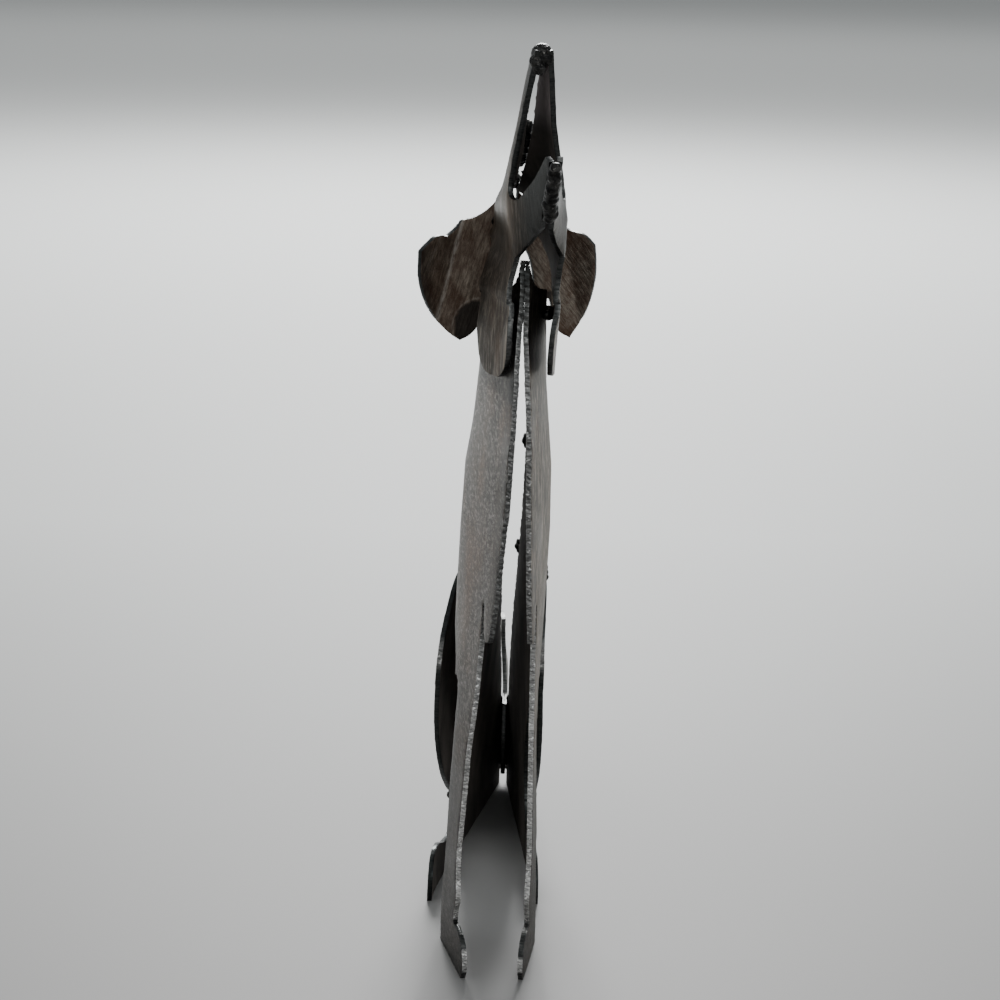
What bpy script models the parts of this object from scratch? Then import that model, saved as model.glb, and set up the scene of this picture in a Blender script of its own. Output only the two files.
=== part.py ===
"""A sitting, howling coyote made of hand-cut sheet steel plates, bent and welded at their edges.

The figure looks along -Y and +Z is up. The flat blanks are drawn in units of 1/305 of the figure's
height: the body, haunch and tail blanks as (y, z) in the side view, the head blanks as (a, z), where a
runs forward along the head, and the ear blanks as (b, z), where b runs out from the head's mid-plane.
Each blank is cut out flat, bent to its form and given the thickness of the sheet.
"""
import math

import bmesh
import bpy
from mathutils import Matrix, Vector

# Driving sizes, in metres and degrees
FIGURE_HEIGHT = 0.305
SHEET = 0.0019
GAP = 0.0003
CELL = 0.010
HEAD_TURN = 11.0
OUTLINE_STEPS = 3
PUDDLE_PITCH = 1.5

UNIT = FIGURE_HEIGHT / 305
SHEET_UNITS = SHEET / UNIT
GAP_UNITS = GAP / UNIT

# Radii of the weld beads, which keep their share of the figure's height
NOSE_BEAD = 2.9 * UNIT
SEAM_BEAD = 2.5 * UNIT
TACK_BEAD = 2.1 * UNIT

# The head turns about an upright line through the top of the neck
HEAD_PIVOT = (7.5, 5.0)

# Point kinds of an outline: a plain pair is a smooth point, SHARP makes it a corner
SHARP = "corner"

BODY_OUTLINE = [
    (-0.2, -2, SHARP), (-3.2, 3.0), (-3.8, 8.5), (-0.5, 14), (8.6, 15.6, SHARP), (7.8, 19), (5.6, 25),
    (6.8, 34), (6.6, 62), (7.4, 92), (9.5, 127.5, SHARP), (8.7, 127.5, SHARP), (6, 119), (0.5, 117.2),
    (-2.5, 124), (-4, 145), (-6, 178), (-3.8, 194), (1, 206), (4.2, 219), (5, 230), (6, 240, SHARP),
    (8.5, 234), (14, 230.5), (22, 228.6), (34, 226.5, SHARP), (47, 216), (73, 181), (98, 143), (112, 120),
    (141, 76), (158, 42), (163.5, 20), (164, -2, SHARP), (55.0, -2, SHARP), (53.6, 4), (54.6, 11),
    (60, 15.8), (67, 16.6), (78, 13), (89, 13.6), (96.5, 25), (94, 42), (82, 60), (62, 79), (44, 90),
    (32, 92), (27.5, 80), (27, 55), (25, 30), (26.8, 12), (26.5, -2, SHARP),
]

# Plan of each side at some heights: height, distance back of the widest line and of the spine, then the
# middle of the sheet at the front line, at the widest line and at the spine
LEFT_SIDE = [
    (0, 54, 164, -10.0, -26.0, -1.3), (20, 54, 163.5, -10.4, -25.4, -1.3), (42, 54, 158, -10.3, -22.8, -1.3),
    (76, 32, 141, -7.8, -17.2, -1.9), (96, 40, 128, -5.2, -16.6, -1.7), (108, 48, 120, -4.1, -17.4, -1.6),
    (120, 54, 112, -3.0, -17.2, -1.5), (143, 54, 98, -1.3, -16.3, -0.8), (165, 52, 84, 0.0, -15.0, -0.2),
    (181, 50, 73, 0.8, -12.4, 0.4), (195, 45, 62, 2.0, -11.0, 1.0), (217, 36, 47, 5.4, -9.0, 1.8),
    (228, 27, 36, 6.6, -5.0, 2.2), (240, 24, 32, 6.8, -4.0, 2.4),
]
RIGHT_SIDE = [
    (0, 42, 164, 10.5, 17.4, 3.4), (20, 42, 163.5, 10.7, 17.2, 3.4), (42, 44, 158, 11.4, 16.4, 3.4),
    (76, 54, 141, 11.3, 14.9, 4.2), (96, 54, 128, 10.9, 15.2, 5.2), (120, 54, 112, 10.2, 16.4, 6.3),
    (143, 54, 98, 9.5, 17.2, 7.2), (165, 52, 84, 9.1, 16.9, 7.7), (181, 50, 73, 8.8, 15.4, 8.0),
    (195, 45, 62, 7.9, 14.2, 7.9), (217, 36, 47, 5.7, 13.6, 7.6), (228, 27, 36, 5.3, 13.6, 7.4),
    (240, 24, 32, 4.6, 13.0, 7.4),
]

# The left thigh plate stands off the side plate, so it is bent to a wider plan of its own
LEFT_THIGH = [
    (20, 54, 163.5, -10.4, -25.4, -1.3), (42, 54, 158, -10.3, -22.8, -1.3), (76, 54, 141, -7.8, -21.2, -1.9),
    (96, 54, 128, -5.2, -20.7, -1.7), (120, 54, 112, -3.0, -18.6, -1.5),
]
SIDE_PLAN = {"left": LEFT_SIDE, "right": RIGHT_SIDE}
THIGH_PLAN = {"left": LEFT_THIGH, "right": RIGHT_SIDE}
PLAN_ROUNDING = 5.0

# Crown of the head from the back to the nose, as (a, z): the line where the two head plates meet
CROWN_LINE = [
    (-37.6, 257.5), (-31, 260.6), (-24.5, 265.6), (-18, 271.5), (-13, 278.5), (-9.8, 285), (-5.6, 293.5),
    (2.2, 303.6),
]
HEAD_OUTLINE = [
    (8.5, 303, SHARP), (6.2, 294), (3.6, 283), (0, 268), (-2.0, 261.0), (0.0, 258.8), (10, 263.5),
    (23, 273.8, SHARP), (25.4, 272.5, SHARP), (14.5, 251.5, SHARP), (8.6, 247.2), (3.2, 242.6),
    (-0.6, 236.5), (-1.2, 229), (1.2, 214), (-1.5, 205), (-10, 202), (-19, 204), (-22.5, 212), (-25, 228),
    (-29.5, 240), (-37.6, 242.5, SHARP),
] + [(*CROWN_LINE[0], SHARP)] + CROWN_LINE[1:-1] + [(*CROWN_LINE[-1], SHARP)]

# Head: height, front line, then half width there and flare of the cheek towards the back, left and right
HEAD_ROWS = [
    (202, 2.0, 7.0, 0.26, 5.2, 0.22), (215, 2.0, 7.0, 0.26, 5.9, 0.22), (230, 1.2, 6.5, 0.19, 7.3, 0.18),
    (236, 2.0, 5.6, 0.13, 8.0, 0.12), (240, 2.0, 5.2, 0.08, 8.5, 0.05), (246, -0.5, 6.0, 0.0, 9.4, 0.0),
    (252, -2.0, 7.0, 0.0, 9.8, 0.0), (257, -3.0, 7.5, 0.0, 9.4, 0.0), (264, -1.2, 7.0, 0.0, 8.3, 0.0),
    (271, 0.8, 6.5, 0.0, 6.6, 0.0), (281, 3.2, 5.0, 0.0, 4.5, 0.0), (292, 5.8, 3.5, 0.0, 3.2, 0.0),
    (300, 7.6, 2.2, 0.0, 2.2, 0.0), (305, 8.8, 1.5, 0.0, 1.5, 0.0),
]
BRIDGE_HALF_GAP = 0.75
CROWN_HALF_GAP = 0.2
BRIDGE_FROM = 271
BRIDGE_RUN = 10
CROWN_ROUNDNESS = 0.62
CROWN_STRIP = 1.04
BELOW_CROWN = 3.2
JAW_SEAM = ((14.5, 251.5), (25.4, 272.5))
JAW_SEAM_SHIFT = 0.9

EAR_OUTLINE = {
    "left": [
        (1.6, 256.4, SHARP), (4.4, 253.7), (9.6, 248.8), (15.9, 246.6, SHARP), (18.5, 243.6),
        (20.9, 241.9, SHARP), (23.8, 242.2), (27.6, 239.9), (30.1, 237.6, SHARP), (30.2, 230), (29, 224),
        (25.9, 217.2), (20.5, 210.6), (15.8, 207.2, SHARP), (12.2, 209.2), (8.8, 214.5), (7.4, 224),
        (6.2, 233), (3.6, 240), (1.4, 247),
    ],
    "right": [
        (1.6, 256.4, SHARP), (4.4, 253.7), (9.6, 249.5), (15.9, 246.0), (19.5, 243.8), (24.2, 242.4),
        (27.6, 239.0, SHARP), (28.3, 232), (28.0, 225.6), (25.6, 215.5), (21.0, 207.6, SHARP), (16.8, 210.2),
        (14.6, 217), (13.6, 220.6, SHARP), (8.2, 222.6, SHARP), (6.8, 233), (3.6, 240), (1.4, 247),
    ],
}
EAR_SETBACK = 0.85
EAR_STATION = CROWN_LINE[0][0] - SHEET_UNITS / 2 - EAR_SETBACK
EAR_SWEEP = 0.16
EAR_CUP = 0.010
EAR_CREASE = ((15.9, 246.6), (22.5, 220.0))
EAR_CREASE_ANGLE = 24.0

HAUNCH_OUTLINE = [
    (76, 118), (94, 113), (113, 95), (126, 72), (126, 48), (115, 30), (100, 24), (86, 33.5), (74, 51),
    (67.5, 76), (69.5, 101),
]
HAUNCH_CENTRE = (92, 76)
HAUNCH_RADII = (52, 50)
HAUNCH_RISE = {"left": 3.4, "right": 0.3}
HAUNCH_CLEAR = 1.9

TAIL_OUTLINE = [
    (151, 9, SHARP), (149.5, 24), (153, 38.5, SHARP), (164, 41), (168, 52), (166.5, 64),
    (161.5, 71.5, SHARP), (177, 69.5), (189, 55), (191.5, 36), (184, 18), (168, 9),
]
TAIL_STATION = 0.95
TAIL_LEAN = 0.085
TAIL_LEAN_FROM = (150, 41)

# Welds of the head: places along the crown line, offsets from the lines that they follow
CROWN_WELDS = {"weld_crown": (2, 4), "weld_nape": (0, 1)}
CROWN_WELD_OFFSET = (-1.0, 1.3)
JAW_WELD_OFFSETS = ((1.3, 1.0), (0.8, -1.5))
NOSE_AHEAD = 2.5
NOSE_WIDTH = 1.05
NOSE_BELOW_TOP = 1.02
EAR_WELD_AHEAD = 0.4
EAR_WELD_HEIGHTS = (244.5, 251)
EAR_WELD_INSIDE = 0.35

# Welds of the body, as (y, z)
TAIL_WELD = ((165, 14), (159, 36))
TAIL_WELD_ASIDE = 2.4
SPINE_LUMPS = {"upper": (84, 164), "lower": (115, 116)}
LUMP_INSET = 0.6
LUMP_SHARES = (0.8, 0.9, 1.4)
NECK_WELD = (25.0, 220.0)
HAUNCH_WELDS = {"upper": 0, "lower": 6}
TACK_RUN = 7.0
EDGE_OFFSET = 1.3

# Shape of a bead: swell of its puddles, share of its radius at its ends, and height of the knobs of a lump
PUDDLE_SWELL = 0.16
END_SHARE = 0.12
KNOB = 0.07

# Room that a plate keeps in a bead, in gaps; depth of the block that trims the feet; smallest edge kept
ROOM_GAPS = 1.3
GROUND_DEPTH = 20
TOUCHING = 0.00001
STRAIGHT = 0.5

# Finish of each steel: colour and roughness
GROUND_STEEL = ((0.33, 0.32, 0.31), 0.38)
HEAT_TINTED_STEEL = ((0.20, 0.16, 0.13), 0.45)
WELD_METAL = ((0.24, 0.23, 0.22), 0.3)


def mix(low, high, share):
    """Value between two others, at a share of the way."""
    return low + (high - low) * share


def read_rows(rows, height, column):
    """Value of one column of a table whose first column is the height, between its rows."""
    if height <= rows[0][0]:
        return rows[0][column]
    for lower, upper in zip(rows, rows[1:]):
        if height <= upper[0]:
            share = (height - lower[0]) / (upper[0] - lower[0])
            return mix(lower[column], upper[column], share)
    return rows[-1][column]


def bent_x(plan, side, y, z):
    """Sideways place of a bent sheet: two straight runs with a soft bend at the widest line."""
    rows = plan[side]
    widest_y, spine_y, front_x, widest_x, spine_x = (read_rows(rows, z, column) for column in range(1, 6))
    chest = mix(front_x, widest_x, y / widest_y)
    back = mix(spine_x, widest_x, (spine_y - y) / (spine_y - widest_y))
    bend = math.hypot(chest - back, PLAN_ROUNDING)
    if side == "left":
        return (chest + back + bend) / 2
    return (chest + back - bend) / 2


def body_x(side, y, z):
    """Sideways place of a body plate."""
    return bent_x(SIDE_PLAN, side, y, z)


def head_place(a, b, z):
    """Point of the head's own frame, turned with the head."""
    turn = math.radians(HEAD_TURN)
    x = HEAD_PIVOT[0] + b * math.cos(turn) + a * math.sin(turn)
    y = HEAD_PIVOT[1] - a * math.cos(turn) + b * math.sin(turn)
    return Vector((x, y, z))


def seam_gap(z):
    """Half of the gap left between the two head plates along the bridge and the crown."""
    share = (z - BRIDGE_FROM) / BRIDGE_RUN
    return mix(CROWN_HALF_GAP, BRIDGE_HALF_GAP, min(max(share, 0), 1))


def crown_a(z):
    """How far forward the crown line lies at a height; below the crown it runs on backwards."""
    back_a, back_z = CROWN_LINE[0]
    if z < back_z:
        return back_a - BELOW_CROWN * (back_z - z)
    return read_rows([(height, a) for a, height in CROWN_LINE], z, 1)


def jaw_seam_a(z):
    """How far forward the seam of the jaw lies at a height."""
    (low_a, low_z), (high_a, high_z) = JAW_SEAM
    return mix(low_a, high_a, (z - low_z) / (high_z - low_z))


def jaw_share(a, z):
    """Share of the way from the front line of the cheek to the seam of the jaw."""
    front = read_rows(HEAD_ROWS, z, 1)
    return min(max((a - front) / (jaw_seam_a(z) - front), 0), 1)


def head_b(side, a, z):
    """Half width of the head shell: round to the crown behind, drawn in to the jaw seam in front."""
    columns = (1, 2, 3) if side == "left" else (1, 4, 5)
    front, width, flare = (read_rows(HEAD_ROWS, z, column) for column in columns)
    closed = SHEET_UNITS / 2 + seam_gap(z)
    if a > front:
        return mix(width, closed, jaw_share(a, z))
    share = min(CROWN_STRIP * (front - a) / (front - crown_a(z)), 1)
    return closed + (width - closed) * (1 - share ** 2) ** CROWN_ROUNDNESS + flare * (front - a)


def body_form(side):
    """Bent place of a point of the body blank."""
    return lambda y, z: Vector((body_x(side, y, z), y, z))


def head_form(side):
    """Bent place of a point of the head blank."""
    sign = -1 if side == "left" else 1
    return lambda a, z: head_place(a, sign * head_b(side, a, z) + JAW_SEAM_SHIFT * jaw_share(a, z), z)


def ear_form(side):
    """Bent place of a point of the ear blank: swept back, cupped, and folded forward at the crease."""
    sign = -1 if side == "left" else 1
    (top_b, top_z), (low_b, low_z) = EAR_CREASE

    def place(b, z):
        crease_b = mix(low_b, top_b, (z - low_z) / (top_z - low_z))
        beyond = max(b - crease_b, 0)
        folded = math.tan(math.radians(EAR_CREASE_ANGLE)) * beyond
        a = EAR_STATION - EAR_SWEEP * b + EAR_CUP * (b - 12) ** 2 + folded
        return head_place(a, sign * b, z)

    return place


def haunch_form(side):
    """Domed thigh plate on the outside of a body plate."""
    sign = -1 if side == "left" else 1

    def place(y, z):
        along = (y - HAUNCH_CENTRE[0]) / HAUNCH_RADII[0]
        upward = (z - HAUNCH_CENTRE[1]) / HAUNCH_RADII[1]
        dome = max(1 - along ** 2 - upward ** 2, 0)
        rise = SHEET_UNITS + HAUNCH_CLEAR * GAP_UNITS + HAUNCH_RISE[side] * dome
        return Vector((bent_x(THIGH_PLAN, side, y, z) + sign * rise, y, z))

    return place


def tail_form(y, z):
    """Tail plate between the two spine edges; its free part leans to the left towards the back."""
    root_y, root_z = TAIL_LEAN_FROM
    free = max(z - root_z, 0) / root_z
    return Vector((TAIL_STATION - TAIL_LEAN * free * (y - root_y), y, z))


def clear_scene():
    """Empty the file, so that the model is alone in it."""
    for thing in list(bpy.data.objects):
        bpy.data.objects.remove(thing, do_unlink=True)
    for group in list(bpy.data.collections):
        bpy.data.collections.remove(group)


def new_collection(name):
    """Collection linked to the scene."""
    group = bpy.data.collections.new(name)
    bpy.context.scene.collection.children.link(group)
    return group


def steel(name, finish):
    """Bare steel with its own tone and roughness."""
    colour, roughness = finish
    material = bpy.data.materials.new(name)
    material.use_nodes = True
    shader = material.node_tree.nodes["Principled BSDF"]
    shader.inputs["Base Color"].default_value = (*colour, 1)
    shader.inputs["Metallic"].default_value = 1
    shader.inputs["Roughness"].default_value = roughness
    material.diffuse_color = (*colour, 1)
    return material


def flat_blank(name, outline):
    """Mesh of a flat blank: its outline as a filled flat curve, cut into cells so that it can bend."""
    curve = bpy.data.curves.new(name, "CURVE")
    curve.dimensions = "2D"
    curve.fill_mode = "BOTH"
    curve.resolution_u = OUTLINE_STEPS
    spline = curve.splines.new("BEZIER")
    spline.bezier_points.add(len(outline) - 1)
    spline.use_cyclic_u = True
    for point, (u, v, *kind) in zip(spline.bezier_points, outline):
        point.co = (u * UNIT, v * UNIT, 0)
        point.handle_left_type = "VECTOR" if kind else "AUTO"
        point.handle_right_type = point.handle_left_type
    drawn = bpy.data.objects.new(name + "_outline", curve)
    bpy.context.scene.collection.objects.link(drawn)
    evaluated = drawn.evaluated_get(bpy.context.evaluated_depsgraph_get())
    mesh = bpy.data.meshes.new_from_object(evaluated)
    mesh.name = name
    bpy.data.objects.remove(drawn)
    bpy.data.curves.remove(curve)
    cut_cells(mesh)
    return mesh


def cut_cells(mesh):
    """Cut a flat mesh along a square grid."""
    sheet = bmesh.new()
    sheet.from_mesh(mesh)
    bmesh.ops.remove_doubles(sheet, verts=sheet.verts, dist=TOUCHING)
    bmesh.ops.dissolve_limit(sheet, angle_limit=math.radians(STRAIGHT), verts=sheet.verts, edges=sheet.edges)
    for axis in (0, 1):
        normal = Vector((1, 0, 0)) if axis == 0 else Vector((0, 1, 0))
        low = min(corner.co[axis] for corner in sheet.verts)
        high = max(corner.co[axis] for corner in sheet.verts)
        for step in range(math.ceil(low / CELL), math.floor(high / CELL) + 1):
            parts = sheet.verts[:] + sheet.edges[:] + sheet.faces[:]
            place = normal * step * CELL
            bmesh.ops.bisect_plane(sheet, geom=parts, dist=CELL / 20, plane_co=place, plane_no=normal)
    bmesh.ops.triangulate(sheet, faces=sheet.faces)
    sheet.to_mesh(mesh)
    sheet.free()


def add_object(name, mesh, material, group):
    """Object in a collection, with its material."""
    made = bpy.data.objects.new(name, mesh)
    mesh.materials.clear()
    mesh.materials.append(material)
    group.objects.link(made)
    return made


def thicken(made, thickness):
    """Even thickness on both sides of the bent sheet."""
    solidify = made.modifiers.new("sheet", "SOLIDIFY")
    solidify.thickness = thickness
    solidify.offset = 0
    solidify.use_even_offset = True
    return solidify


def plate(name, outline, form, material, group):
    """One piece of sheet: the flat blank, bent by its form and thickened."""
    mesh = flat_blank(name, outline)
    for corner in mesh.vertices:
        corner.co = form(corner.co.x / UNIT, corner.co.y / UNIT) * UNIT
    made = add_object(name, mesh, material, group)
    thicken(made, SHEET)
    return made


def cutter_of(plate_object, cutters):
    """Copy of a plate, grown by the gap, that cuts its room out of the weld beads."""
    mesh = plate_object.data.copy()
    made = bpy.data.objects.new(plate_object.name + "_room", mesh)
    cutters.objects.link(made)
    thicken(made, SHEET)
    grow = made.modifiers.new("gap", "DISPLACE")
    grow.strength = GAP * ROOM_GAPS
    grow.mid_level = 0
    hide_tool(made)
    return made


def hide_tool(made):
    """Mark an object as a tool and no piece."""
    made.hide_render = True
    made.display_type = "WIRE"


def cut_with(made, tool):
    """Take one solid out of another."""
    cut = made.modifiers.new("cut_" + tool.name, "BOOLEAN")
    cut.operation = "DIFFERENCE"
    cut.solver = "EXACT"
    cut.use_self = True
    cut.object = tool


def ground_tool(cutters):
    """Block under the ground, which trims the feet level."""
    depth = GROUND_DEPTH * UNIT
    block = bmesh.new()
    size = Matrix.Diagonal((FIGURE_HEIGHT, 2 * FIGURE_HEIGHT, depth, 1))
    bmesh.ops.create_cube(block, size=1, matrix=size)
    bmesh.ops.translate(block, verts=block.verts, vec=(0, 0, -depth / 2))
    mesh = bpy.data.meshes.new("ground")
    block.to_mesh(mesh)
    block.free()
    made = bpy.data.objects.new("ground", mesh)
    cutters.objects.link(made)
    hide_tool(made)
    return made


def trim_weld(made, rooms):
    """Cut a weld clear of the plates it joins and keep its largest body."""
    for room in rooms:
        cut_with(made, room)
    evaluated = made.evaluated_get(bpy.context.evaluated_depsgraph_get())
    mesh = bpy.data.meshes.new_from_object(evaluated)
    made.modifiers.clear()
    made.data = mesh
    shell = bmesh.new()
    shell.from_mesh(mesh)
    bodies = []
    left = set(shell.verts)
    while left:
        body = [left.pop()]
        for corner in body:
            near = {edge.other_vert(corner) for edge in corner.link_edges} & left
            left -= near
            body.extend(near)
        bodies.append(body)
    bodies.sort(key=len)
    for body in bodies[:-1]:
        bmesh.ops.delete(shell, geom=body, context="VERTS")
    shell.to_mesh(mesh)
    shell.free()


def weld_bead(name, route, radius, rooms, material, group):
    """Run of weld: a tube whose thickness swells at each puddle, cut clear of the plates it joins."""
    curve = bpy.data.curves.new(name, "CURVE")
    curve.dimensions = "3D"
    curve.bevel_depth = radius
    curve.bevel_resolution = 2
    curve.use_fill_caps = True
    ends = [Vector(point) * UNIT for point in route]
    length = (ends[-1] - ends[0]).length
    puddles = max(round(length / (PUDDLE_PITCH * radius)), 1)
    steps = 4 * puddles
    spline = curve.splines.new("POLY")
    spline.points.add(steps)
    for index, point in enumerate(spline.points):
        share = index / steps
        place = ends[0].lerp(ends[-1], share)
        if len(ends) == 3:
            place = ends[0] * (1 - share) ** 2 + ends[1] * 2 * share * (1 - share) + ends[2] * share ** 2
        point.co = (*place, 1)
        from_end = min(share, 1 - share) * length / radius
        rounding = math.sqrt(1 - (1 - min(from_end + END_SHARE, 1)) ** 2)
        point.radius = rounding * (1 + PUDDLE_SWELL * math.cos(2 * math.pi * puddles * share))
    drawn = bpy.data.objects.new(name + "_run", curve)
    bpy.context.scene.collection.objects.link(drawn)
    evaluated = drawn.evaluated_get(bpy.context.evaluated_depsgraph_get())
    mesh = bpy.data.meshes.new_from_object(evaluated)
    mesh.name = name
    bpy.data.objects.remove(drawn)
    bpy.data.curves.remove(curve)
    close_caps(mesh)
    made = add_object(name, mesh, material, group)
    trim_weld(made, rooms)
    return made


def close_caps(mesh):
    """Join the loose end caps of a tube to its wall."""
    shell = bmesh.new()
    shell.from_mesh(mesh)
    bmesh.ops.remove_doubles(shell, verts=shell.verts, dist=TOUCHING)
    bmesh.ops.recalc_face_normals(shell, faces=shell.faces)
    shell.to_mesh(mesh)
    shell.free()


def weld_blob(name, centre, radii, rooms, material, group):
    """Built-up lump of weld: a ball with a few soft knobs, cut clear of the plates it joins."""
    ball = bmesh.new()
    bmesh.ops.create_uvsphere(ball, u_segments=12, v_segments=8, radius=1)
    for corner in ball.verts:
        out = corner.co.normalized()
        knob = 1 + KNOB * math.sin(5 * out.x + 3 * out.z) * math.cos(4 * out.y - 2 * out.x)
        corner.co = Matrix.Diagonal(radii) @ out * knob + Vector(centre) * UNIT
    mesh = bpy.data.meshes.new(name)
    ball.to_mesh(mesh)
    ball.free()
    made = add_object(name, mesh, material, group)
    trim_weld(made, rooms)
    return made


def build_plates(group, cutters):
    """All the sheet pieces; gives back the room that each one takes."""
    grey = steel("ground_steel", GROUND_STEEL)
    brown = steel("heat_tinted_steel", HEAT_TINTED_STEEL)
    ground = ground_tool(cutters)
    plates = {}
    for side in ("left", "right"):
        plates["body_" + side] = plate("body_" + side, BODY_OUTLINE, body_form(side), grey, group)
        cut_with(plates["body_" + side], ground)
        plates["haunch_" + side] = plate("haunch_" + side, HAUNCH_OUTLINE, haunch_form(side), grey, group)
        plates["head_" + side] = plate("head_" + side, HEAD_OUTLINE, head_form(side), grey, group)
        plates["ear_" + side] = plate("ear_" + side, EAR_OUTLINE[side], ear_form(side), brown, group)
    plates["tail"] = plate("tail", TAIL_OUTLINE, tail_form, grey, group)
    return {name: cutter_of(piece, cutters) for name, piece in plates.items()}


def build_welds(rooms, group):
    """Weld beads, each cut clear of the plates it joins."""
    bead = steel("weld_metal", WELD_METAL)
    heads = [rooms["head_left"], rooms["head_right"]]
    ears = [rooms["ear_left"], rooms["ear_right"]]
    bodies = [rooms["body_left"], rooms["body_right"]]
    tails = [*bodies, rooms["tail"]]

    nose = head_place(CROWN_LINE[-1][0] + NOSE_AHEAD, 0, (FIGURE_HEIGHT - NOSE_BEAD * NOSE_BELOW_TOP) / UNIT)
    nose_radii = (NOSE_BEAD * NOSE_WIDTH, NOSE_BEAD * NOSE_WIDTH, NOSE_BEAD)
    weld_blob("weld_nose", nose, nose_radii, heads, bead, group)

    jaw = []
    for (a, z), (ahead, above) in zip(JAW_SEAM, JAW_WELD_OFFSETS):
        jaw.append(head_place(a + ahead, JAW_SEAM_SHIFT, z + above))
    weld_bead("weld_jaw", jaw, SEAM_BEAD, heads, bead, group)

    ahead, above = CROWN_WELD_OFFSET
    for name, places in CROWN_WELDS.items():
        run = [head_place(CROWN_LINE[index][0] + ahead, 0, CROWN_LINE[index][1] + above) for index in places]
        weld_bead(name, run, TACK_BEAD, heads + ears, bead, group)

    for side, sign in (("left", -1), ("right", 1)):
        joined = [rooms["head_" + side], rooms["ear_" + side]]
        weld_bead("weld_ear_" + side, ear_run(side, sign), TACK_BEAD, joined, bead, group)
        joined.append(rooms["body_" + side])
        weld_bead("weld_neck_" + side, neck_run(side), TACK_BEAD, joined, bead, group)
        joined = [rooms["body_" + side], rooms["haunch_" + side]]
        for level, index in HAUNCH_WELDS.items():
            run = edge_run(side, sign, index)
            weld_bead("weld_haunch_" + side + "_" + level, run, TACK_BEAD, joined, bead, group)
        run = [Vector((TAIL_STATION + sign * TAIL_WELD_ASIDE, y, z)) for y, z in TAIL_WELD]
        weld_bead("weld_tail_" + side, run, TACK_BEAD, tails, bead, group)

    radii = [TACK_BEAD * share for share in LUMP_SHARES]
    for level, (y, z) in SPINE_LUMPS.items():
        lump = (body_x("right", y, z) - LUMP_INSET, y, z)
        weld_blob("lump_spine_" + level, lump, radii, bodies, bead, group)


def ear_run(side, sign):
    """Line of the weld between the back edge of a head plate and its ear."""
    inset = SHEET_UNITS / 2 + EAR_WELD_INSIDE
    aside = head_b(side, CROWN_LINE[0][0], EAR_WELD_HEIGHTS[0]) - inset
    return [head_place(CROWN_LINE[0][0] + EAR_WELD_AHEAD, sign * aside, z) for z in EAR_WELD_HEIGHTS]


def edge_run(side, sign, index):
    """Line of the weld at one point of a haunch's edge, on the outside of the body plate."""
    before, (y, z), after = (Vector(HAUNCH_OUTLINE[step][:2]) for step in (index - 1, index, index + 1))
    along = (after - before).normalized() * TACK_RUN / 2
    outward = (Vector((y, z)) - Vector(HAUNCH_CENTRE)).normalized() * EDGE_OFFSET
    clear = sign * (SHEET_UNITS / 2 + EDGE_OFFSET)
    run = []
    for end in (-1, 1):
        place_y, place_z = Vector((y, z)) + outward + along * end
        run.append(Vector((body_x(side, place_y, place_z) + clear, place_y, place_z)))
    return run


def neck_run(side):
    """Line of the weld between the neck and the inside of the cheek."""
    middle, height = NECK_WELD
    run = []
    for y in (middle - TACK_RUN / 2, middle + TACK_RUN / 2):
        cheek = head_form(side)(HEAD_PIVOT[1] - y, height)
        run.append(Vector(((body_x(side, y, height) + cheek.x) / 2, y, height)))
    return run


def centre_figure(everything, pieces):
    """Move the model so that the world origin lies at the bottom centre of its bounding box."""
    graph = bpy.context.evaluated_depsgraph_get()
    corners = [Vector(corner) for piece in pieces for corner in piece.evaluated_get(graph).bound_box]
    low = [min(corner[axis] for corner in corners) for axis in (0, 1)]
    high = [max(corner[axis] for corner in corners) for axis in (0, 1)]
    shift = Matrix.Translation((-(low[0] + high[0]) / 2, -(low[1] + high[1]) / 2, 0))
    for made in everything:
        made.data.transform(shift)


def main():
    """Model the whole figure."""
    clear_scene()
    figure = new_collection("coyote_sculpture")
    cutters = new_collection("cutters")
    rooms = build_plates(figure, cutters)
    build_welds(rooms, figure)
    centre_figure([*figure.objects, *cutters.objects], figure.objects)


main()
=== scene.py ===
# %% [markdown]
# # A howling coyote of welded sheet steel
# The real object is a small sculpture. Its maker drew each side of the animal on flat sheet, cut the shapes
# out with a torch, bent them by hand and tacked the edges together with weld. This lesson dresses the
# measured solids of the same figure: fine sheets with ragged cut edges, lumpy weld beads and worn steel.

# %% Load the measured model
import math
from collections import Counter

import bpy
from mathutils import Matrix, Vector, noise


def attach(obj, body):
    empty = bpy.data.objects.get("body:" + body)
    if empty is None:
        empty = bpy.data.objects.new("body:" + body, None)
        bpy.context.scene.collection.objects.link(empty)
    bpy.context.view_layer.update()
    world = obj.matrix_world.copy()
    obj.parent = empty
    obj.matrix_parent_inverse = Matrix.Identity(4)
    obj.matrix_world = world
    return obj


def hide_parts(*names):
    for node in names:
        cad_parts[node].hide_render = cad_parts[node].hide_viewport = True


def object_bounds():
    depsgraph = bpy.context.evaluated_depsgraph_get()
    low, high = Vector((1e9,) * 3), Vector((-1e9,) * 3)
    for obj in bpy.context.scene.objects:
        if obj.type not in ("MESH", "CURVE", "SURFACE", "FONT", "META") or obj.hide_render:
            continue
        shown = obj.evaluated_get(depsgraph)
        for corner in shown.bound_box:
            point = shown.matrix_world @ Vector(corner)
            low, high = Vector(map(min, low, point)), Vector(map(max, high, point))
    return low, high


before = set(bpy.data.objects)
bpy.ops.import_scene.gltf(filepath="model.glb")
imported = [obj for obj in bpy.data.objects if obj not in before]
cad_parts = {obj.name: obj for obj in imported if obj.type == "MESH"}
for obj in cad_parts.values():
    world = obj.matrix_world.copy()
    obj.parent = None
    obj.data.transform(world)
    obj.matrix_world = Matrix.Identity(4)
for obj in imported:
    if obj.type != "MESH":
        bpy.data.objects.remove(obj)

cad_low, cad_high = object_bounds()
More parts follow.
